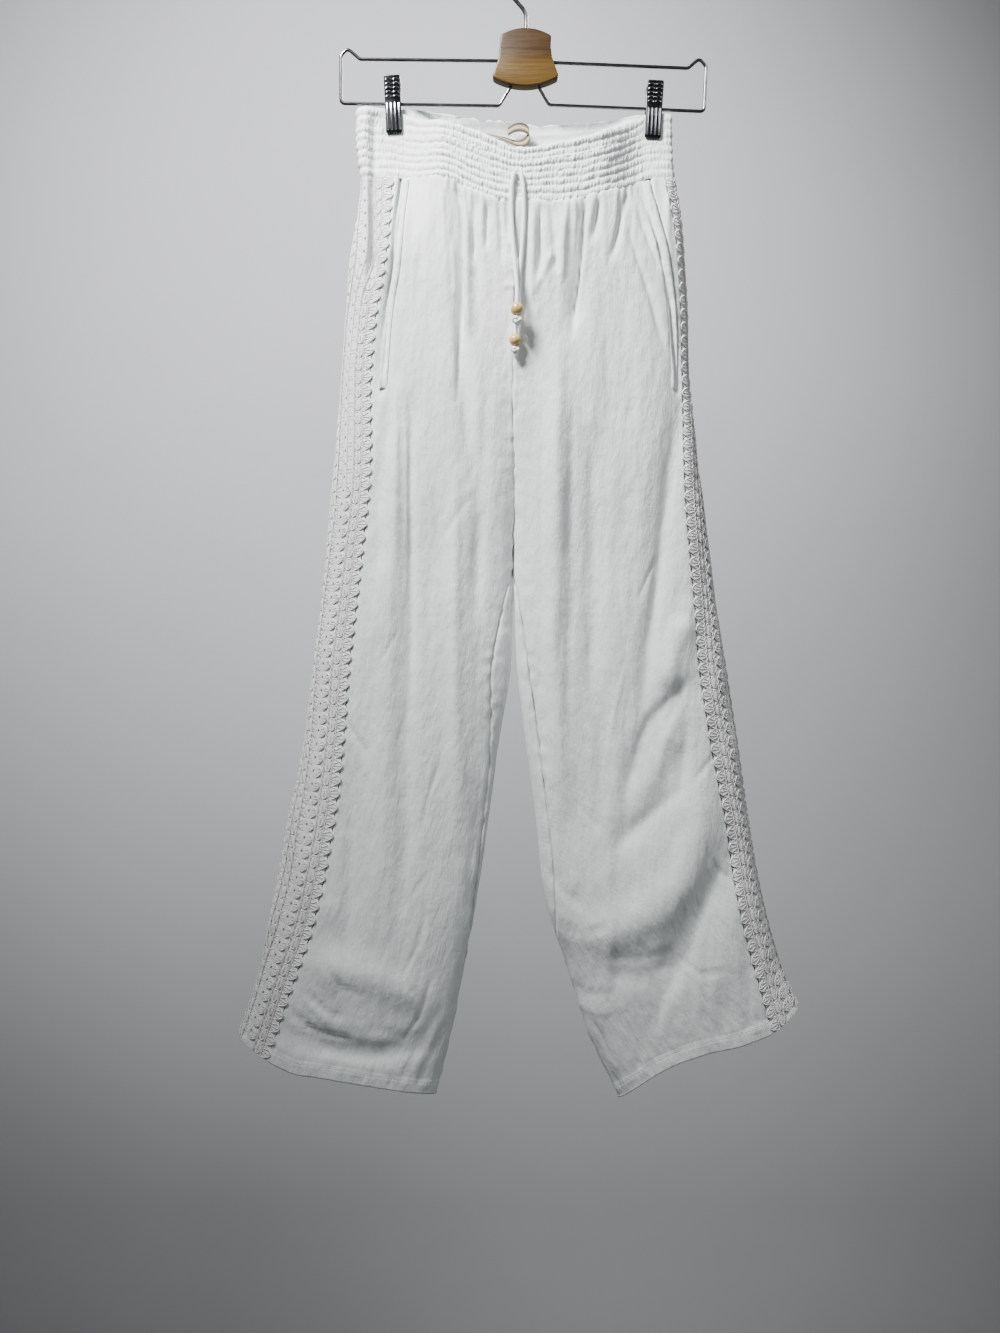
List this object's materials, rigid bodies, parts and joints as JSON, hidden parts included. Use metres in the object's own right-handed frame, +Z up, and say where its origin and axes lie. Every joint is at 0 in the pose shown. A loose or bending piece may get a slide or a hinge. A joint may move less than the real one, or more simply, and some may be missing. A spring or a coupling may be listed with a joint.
{
  "type": "crochet beach pants on clip hanger",
  "caption": "Wide-leg gauze beach pants with crocheted lace let in down both sides, a shirred waist and a beaded drawstring, held open-hemmed on a wire and wood clip hanger.",
  "frame": {"origin": "the inner top of the hanger's hook, where it rests on a rail or peg", "axes": "+Z up, from the hem to the hook; +Y to the back of the pants, so the front faces -Y; +X to the right as seen from the front"},
  "size_m": [0.5549, 0.0721, 1.131],
  "materials": {
    "cloth": "soft white gauze",
    "lace": "white cotton crochet",
    "cord": "braided cord",
    "label": "cream woven ribbon",
    "bead": "polished",
    "wood": "dark satin stain",
    "chrome": "polished"
  },
  "bodies": {
    "root": {"waistband": "cloth", "front_left": "cloth", "back_left": "cloth", "lace_left": "lace", "pocket_left": "cloth", "front_right": "cloth", "back_right": "cloth", "lace_right": "lace", "pocket_right": "cloth", "label": "label", "drawstring_short": "cord", "drawstring_long": "cord", "bead_upper": "bead", "bead_lower": "bead", "knot_upper": "cord", "knot_lower": "cord", "hanger_hook": "chrome", "hanger_plate": "wood", "hanger_wire_left": "chrome", "hanger_wire_right": "chrome", "clip_left_front": "chrome", "clip_left_back": "chrome", "clip_left_spring": "chrome", "clip_right_front": "chrome", "clip_right_back": "chrome", "clip_right_spring": "chrome"}
  },
  "joints": []
}
